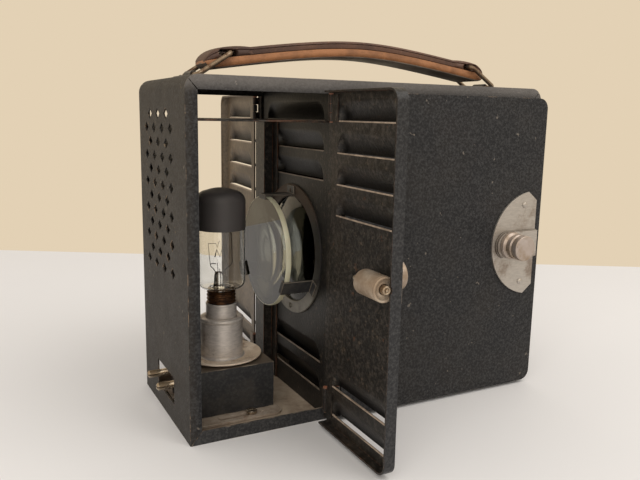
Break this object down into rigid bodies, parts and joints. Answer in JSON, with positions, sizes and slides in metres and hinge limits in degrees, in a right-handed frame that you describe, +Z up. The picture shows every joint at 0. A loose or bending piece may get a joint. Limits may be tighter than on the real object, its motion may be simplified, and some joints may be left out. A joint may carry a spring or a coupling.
{
  "type": "slide projector",
  "caption": "Slide projector in a black sheet metal carrying case with open louvered lamp house doors, projector lamp, condenser, latches, focusing lens and a leather handle.",
  "frame": {"origin": "centre of the case's base, on the plane that it stands on", "axes": "+X along the case from the lamp end to the lens end, +Y from the side door to the far panel, +Z up"},
  "size_m": [0.2752, 0.2696, 0.237],
  "materials": {
    "crinkle": "black crinkle paint",
    "crinkle_brown": "dark brown paint, worn and rust-tinged",
    "floor_beige": "dusty beige-brown paint",
    "aluminium": "satin, stained",
    "nickel": "tarnished nickel plate",
    "rusty": "zinc plate with light rust",
    "black_paint": "smooth black paint",
    "cap_brass": "dark tarnished",
    "glass": "clear, faintly green",
    "bakelite": "dark moulded insulator",
    "leather": "worn brown leather",
    "wire": "browned steel wire"
  },
  "bodies": {
    "case": {"case_wrap": "crinkle", "floor_pan": "floor_beige", "partition": "crinkle_brown", "hinge_post_near": "crinkle_brown", "hinge_post_far": "crinkle_brown", "far_panel": "crinkle", "light_baffle": "crinkle_brown", "far_channel": "crinkle_brown", "near_lamp_door_pin_low": "wire", "near_lamp_door_pin_high": "wire", "far_lamp_door_pin_low": "wire", "far_lamp_door_pin_high": "wire", "side_door_pin_low": "wire", "side_door_pin_high": "wire", "clamp_screw_near": "nickel", "clamp_screw_far": "nickel", "condenser_ring": "aluminium", "condenser_arm_top": "black_paint", "condenser_arm_near": "black_paint", "condenser_arm_far": "black_paint", "condenser_lens_front": "glass", "condenser_lens_rear": "glass", "lens_retainer": "black_paint", "gate_plate": "black_paint", "lens_mount": "black_paint", "ring_saddle_left": "black_paint", "ring_saddle_right": "black_paint"},
    "near_lamp_door": {"near_lamp_door": "crinkle_brown", "near_lamp_door_plate": "aluminium", "near_lamp_door_barrel": "nickel"},
    "near_lamp_latch": {"near_lamp_door_knob": "aluminium", "near_lamp_door_bolt": "nickel"},
    "far_lamp_door": {"far_lamp_door": "crinkle_brown", "far_lamp_door_plate": "aluminium", "far_lamp_door_barrel": "nickel"},
    "far_lamp_latch": {"far_lamp_door_knob": "aluminium", "far_lamp_door_bolt": "nickel"},
    "side_door": {"side_door": "crinkle", "side_door_plate": "aluminium", "side_door_barrel": "nickel"},
    "side_latch": {"side_door_knob": "aluminium", "side_door_bolt": "nickel"},
    "lamp_carriage": {"carriage_foot": "rusty", "carriage_box": "black_paint", "inlet_block": "bakelite", "inlet_pin_near": "nickel", "inlet_pin_far": "nickel", "lamp_socket": "aluminium", "socket_collar": "aluminium", "lamp_cap": "cap_brass", "lamp_glass": "glass", "lamp_dome": "black_paint", "lamp_filament": "wire"},
    "pressure_plate": {"pressure_plate": "black_paint"},
    "lens_barrel": {"lens_barrel": "aluminium", "lens_front_glass": "glass", "lens_rear_glass": "glass"},
    "handle": {"handle_strap": "leather"},
    "left_ring": {"handle_ring_left": "wire"},
    "right_ring": {"handle_ring_right": "wire"}
  },
  "joints": [
    {"name": "near_lamp_door_hinge", "type": "hinge", "parent": "case", "child": "near_lamp_door", "pos_m": [-0.0417, -0.058, 0.1], "axis": [0, 0, 1], "range_deg": [-90, 8]},
    {"name": "near_lamp_latch_slide", "type": "slide", "parent": "near_lamp_door", "child": "near_lamp_latch", "axis": [0, 1, 0], "range_m": [0, 0.0045], "stiffness_N_per_m": 300},
    {"name": "far_lamp_door_hinge", "type": "hinge", "parent": "case", "child": "far_lamp_door", "pos_m": [-0.0417, 0.058, 0.1], "axis": [0, 0, 1], "range_deg": [-3, 95]},
    {"name": "far_lamp_latch_slide", "type": "slide", "parent": "far_lamp_door", "child": "far_lamp_latch", "axis": [-0.0872, -0.9962, 0], "range_m": [0, 0.0045], "stiffness_N_per_m": 300},
    {"name": "side_door_hinge", "type": "hinge", "parent": "case", "child": "side_door", "pos_m": [-0.0333, -0.058, 0.1], "axis": [0, 0, -1], "range_deg": [0, 55]},
    {"name": "side_latch_slide", "type": "slide", "parent": "side_door", "child": "side_latch", "axis": [-1, 0, 0], "range_m": [0, 0.0045], "stiffness_N_per_m": 300},
    {"name": "lamp_carriage_slide", "type": "slide", "parent": "case", "child": "lamp_carriage", "axis": [1, 0, 0], "range_m": [0, 0.01]},
    {"name": "pressure_plate_slide", "type": "slide", "parent": "case", "child": "pressure_plate", "axis": [-1, 0, 0], "range_m": [0, 0.003], "stiffness_N_per_m": 400},
    {"name": "lens_focus_slide", "type": "slide", "parent": "case", "child": "lens_barrel", "axis": [1, 0, 0], "range_m": [0, 0.03]},
    {"name": "handle_lift", "type": "slide", "parent": "case", "child": "handle", "axis": [0, 0, 1], "range_m": [-0.0035, 0.004]},
    {"name": "left_ring_pivot", "type": "hinge", "parent": "case", "child": "left_ring", "pos_m": [-0.107, 0, 0.2118], "axis": [0, -1, 0], "range_deg": [-10, 11.5]},
    {"name": "right_ring_pivot", "type": "hinge", "parent": "case", "child": "right_ring", "pos_m": [0.115, 0, 0.2118], "axis": [0, 1, 0], "range_deg": [-10, 11.5]}
  ],
  "couplings": [
    {"joint": "left_ring_pivot", "follows": "handle_lift", "rad_per_m": 48.5},
    {"joint": "right_ring_pivot", "follows": "handle_lift", "rad_per_m": 48.5}
  ]
}
